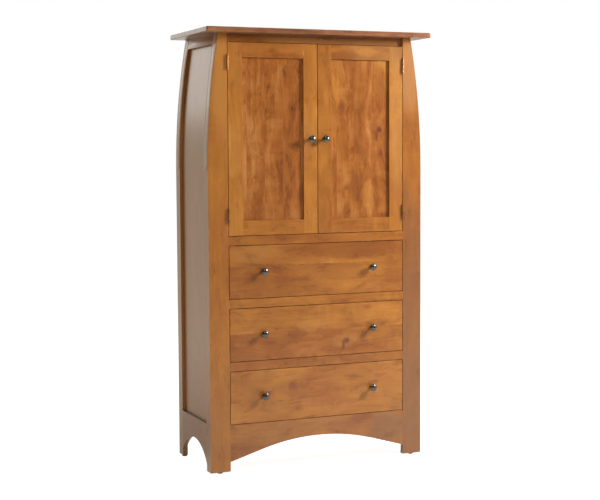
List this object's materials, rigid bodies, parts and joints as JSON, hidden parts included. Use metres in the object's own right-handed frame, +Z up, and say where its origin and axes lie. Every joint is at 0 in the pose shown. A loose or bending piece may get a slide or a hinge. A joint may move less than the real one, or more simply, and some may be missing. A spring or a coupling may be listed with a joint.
{
  "type": "computer armoire",
  "caption": "Bow-sided wooden armoire with inset flat-panel doors over full-width drawers, an overhanging top board and arched base rails.",
  "frame": {"origin": "on the floor, under the middle of the top board's outline", "axes": "+Z up, the front with doors and drawers faces -Y, +X to the right as seen from the front"},
  "size_m": [1.056, 0.5, 1.908],
  "materials": {
    "stained_wood": "honey-brown stain under satin lacquer",
    "drawer_box_wood": "clear-finished pale hardwood",
    "back_plywood": "stained plywood",
    "knob_metal": "dark polished bronze",
    "hinge_metal": "antique bronze",
    "slide_steel": "zinc-plated steel",
    "dark_plastic": "matte nylon"
  },
  "bodies": {
    "case": {"top_board": "stained_wood", "post_front_left": "stained_wood", "post_front_right": "stained_wood", "post_rear_left": "stained_wood", "post_rear_right": "stained_wood", "side_panel_left": "stained_wood", "side_panel_right": "stained_wood", "side_top_rails": "stained_wood", "side_bottom_rails": "stained_wood", "front_top_rail": "stained_wood", "front_middle_rail": "stained_wood", "drawer_dividers": "stained_wood", "front_arched_rail": "stained_wood", "inner_gables": "stained_wood", "cabinet_deck": "stained_wood", "case_bottom": "stained_wood", "back_panel": "back_plywood", "rear_rails": "stained_wood", "adjustable_shelf": "stained_wood", "shelf_pins": "slide_steel", "floor_glides": "dark_plastic", "hinge_post_leaves": "hinge_metal", "hinge_pins": "hinge_metal", "door_catches": "dark_plastic", "slide_case_members": "slide_steel"},
    "left_door": {"left_door_hinge_stile": "stained_wood", "left_door_meeting_stile": "stained_wood", "left_door_rails": "stained_wood", "left_door_panel": "stained_wood", "left_door_knob": "knob_metal", "left_door_hinge_leaves": "hinge_metal", "left_door_catch_plate": "slide_steel"},
    "right_door": {"right_door_hinge_stile": "stained_wood", "right_door_meeting_stile": "stained_wood", "right_door_rails": "stained_wood", "right_door_panel": "stained_wood", "right_door_knob": "knob_metal", "right_door_hinge_leaves": "hinge_metal", "right_door_catch_plate": "slide_steel"},
    "lower_drawer": {"lower_drawer_front": "stained_wood", "lower_drawer_sides": "drawer_box_wood", "lower_drawer_back": "drawer_box_wood", "lower_drawer_bottom": "drawer_box_wood", "lower_drawer_knobs": "knob_metal", "lower_drawer_slide_members": "slide_steel"},
    "lower_slides": {"lower_slide_intermediates": "slide_steel"},
    "middle_drawer": {"middle_drawer_front": "stained_wood", "middle_drawer_sides": "drawer_box_wood", "middle_drawer_back": "drawer_box_wood", "middle_drawer_bottom": "drawer_box_wood", "middle_drawer_knobs": "knob_metal", "middle_drawer_slide_members": "slide_steel"},
    "middle_slides": {"middle_slide_intermediates": "slide_steel"},
    "upper_drawer": {"upper_drawer_front": "stained_wood", "upper_drawer_sides": "drawer_box_wood", "upper_drawer_back": "drawer_box_wood", "upper_drawer_bottom": "drawer_box_wood", "upper_drawer_knobs": "knob_metal", "upper_drawer_slide_members": "slide_steel"},
    "upper_slides": {"upper_slide_intermediates": "slide_steel"}
  },
  "joints": [
    {"name": "left_door_hinge", "type": "hinge", "parent": "case", "child": "left_door", "pos_m": [-0.41625, -0.1937, 1.43725], "axis": [0, 0, -1], "range_deg": [0, 175]},
    {"name": "right_door_hinge", "type": "hinge", "parent": "case", "child": "right_door", "pos_m": [0.41625, -0.1937, 1.43725], "axis": [0, 0, 1], "range_deg": [0, 175]},
    {"name": "lower_drawer_slide", "type": "slide", "parent": "case", "child": "lower_drawer", "axis": [0, -1, 0], "range_m": [0, 0.34]},
    {"name": "lower_slide_travel", "type": "slide", "parent": "case", "child": "lower_slides", "axis": [0, -1, 0], "range_m": [0, 0.17]},
    {"name": "middle_drawer_slide", "type": "slide", "parent": "case", "child": "middle_drawer", "axis": [0, -1, 0], "range_m": [0, 0.34]},
    {"name": "middle_slide_travel", "type": "slide", "parent": "case", "child": "middle_slides", "axis": [0, -1, 0], "range_m": [0, 0.17]},
    {"name": "upper_drawer_slide", "type": "slide", "parent": "case", "child": "upper_drawer", "axis": [0, -1, 0], "range_m": [0, 0.34]},
    {"name": "upper_slide_travel", "type": "slide", "parent": "case", "child": "upper_slides", "axis": [0, -1, 0], "range_m": [0, 0.17]}
  ],
  "couplings": [
    {"joint": "lower_slide_travel", "follows": "lower_drawer_slide", "ratio": 0.5},
    {"joint": "middle_slide_travel", "follows": "middle_drawer_slide", "ratio": 0.5},
    {"joint": "upper_slide_travel", "follows": "upper_drawer_slide", "ratio": 0.5}
  ]
}
